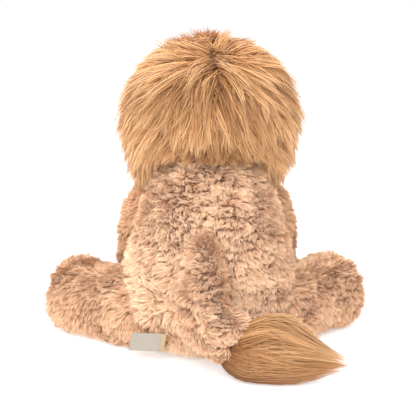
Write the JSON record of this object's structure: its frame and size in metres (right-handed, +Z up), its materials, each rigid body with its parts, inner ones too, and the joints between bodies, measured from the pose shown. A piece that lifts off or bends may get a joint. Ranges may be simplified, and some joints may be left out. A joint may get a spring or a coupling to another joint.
{
  "type": "plush lion",
  "caption": "Sitting stuffed lion in short tan plush, with a long golden mane and tail tuft, and soft joints at the neck, shoulders, hips and tail.",
  "frame": {"origin": "middle of the flat seat, on the floor that the toy sits on", "axes": "+Z up, the face looks along -Y, the lion's own left side is +X"},
  "size_m": [0.3255, 0.3111, 0.297],
  "materials": {
    "tan_plush": "short crushed polyester plush",
    "cream_plush": "short plush",
    "golden_fur": "long straight polyester fur",
    "ear_lining": "short velvet plush",
    "polyester_filling": "loose polyester fibre",
    "dark_bead": "polished dark plastic",
    "clear_white_plastic": "moulded",
    "cream_ribbon": "blank woven ribbon"
  },
  "bodies": {
    "torso": {"torso_back_panel": "tan_plush", "torso_belly_panel": "tan_plush", "torso_filling": "polyester_filling", "care_label": "cream_ribbon"},
    "neck": {"neck_gather": "tan_plush"},
    "head": {"face_panel": "tan_plush", "head_back_panel": "tan_plush", "head_filling": "polyester_filling", "muzzle_panel": "cream_plush", "muzzle_filling": "polyester_filling", "nose": "dark_bead", "eye_left": "dark_bead", "eye_right": "dark_bead", "eye_washer_left": "clear_white_plastic", "eye_washer_right": "clear_white_plastic", "ear_left_back": "tan_plush", "ear_left_lining": "ear_lining", "ear_right_back": "tan_plush", "ear_right_lining": "ear_lining", "mane_left_panel": "golden_fur", "mane_right_panel": "golden_fur"},
    "arm_left": {"arm_left_outer_panel": "tan_plush", "arm_left_inner_panel": "tan_plush", "arm_left_filling": "polyester_filling"},
    "arm_right": {"arm_right_outer_panel": "tan_plush", "arm_right_inner_panel": "tan_plush", "arm_right_filling": "polyester_filling"},
    "leg_left": {"leg_left_outer_panel": "tan_plush", "leg_left_inner_panel": "tan_plush", "leg_left_sole": "tan_plush", "leg_left_filling": "polyester_filling"},
    "leg_right": {"leg_right_outer_panel": "tan_plush", "leg_right_inner_panel": "tan_plush", "leg_right_sole": "tan_plush", "leg_right_filling": "polyester_filling"},
    "tail": {"tail_outer_panel": "tan_plush", "tail_inner_panel": "tan_plush", "tail_filling": "polyester_filling"},
    "tuft": {"tail_tuft": "golden_fur"}
  },
  "joints": [
    {"name": "neck_turn", "type": "hinge", "parent": "torso", "child": "neck", "pos_m": [0, -0.005, 0.176], "axis": [0, 0, 1], "range_deg": [-30, 30], "stiffness_Nm_per_rad": 0.12},
    {"name": "head_nod", "type": "hinge", "parent": "neck", "child": "head", "pos_m": [0, -0.005, 0.176], "axis": [1, 0, 0], "range_deg": [-14, 14], "stiffness_Nm_per_rad": 0.4},
    {"name": "arm_left_lift", "type": "hinge", "parent": "torso", "child": "arm_left", "pos_m": [0.05, -0.029, 0.171], "axis": [-1, 0, 0], "range_deg": [0, 50]},
    {"name": "arm_right_lift", "type": "hinge", "parent": "torso", "child": "arm_right", "pos_m": [-0.05, -0.029, 0.171], "axis": [-1, 0, 0], "range_deg": [0, 50]},
    {"name": "leg_left_lift", "type": "hinge", "parent": "torso", "child": "leg_left", "pos_m": [0.07444, -0.01575, 0.08], "axis": [-0.6157, -0.788, 0], "range_deg": [0, 40]},
    {"name": "leg_right_lift", "type": "hinge", "parent": "torso", "child": "leg_right", "pos_m": [-0.07444, -0.01575, 0.08], "axis": [-0.6157, 0.788, 0], "range_deg": [0, 40]},
    {"name": "tail_lift", "type": "hinge", "parent": "torso", "child": "tail", "pos_m": [0.01118, 0.065, 0.13572], "axis": [1, 0, 0], "range_deg": [0, 60]},
    {"name": "tuft_swing", "type": "hinge", "parent": "tail", "child": "tuft", "pos_m": [-0.01612, 0.12012, 0.02339], "axis": [0, 0, 1], "range_deg": [-20, 20], "stiffness_Nm_per_rad": 0.01}
  ]
}
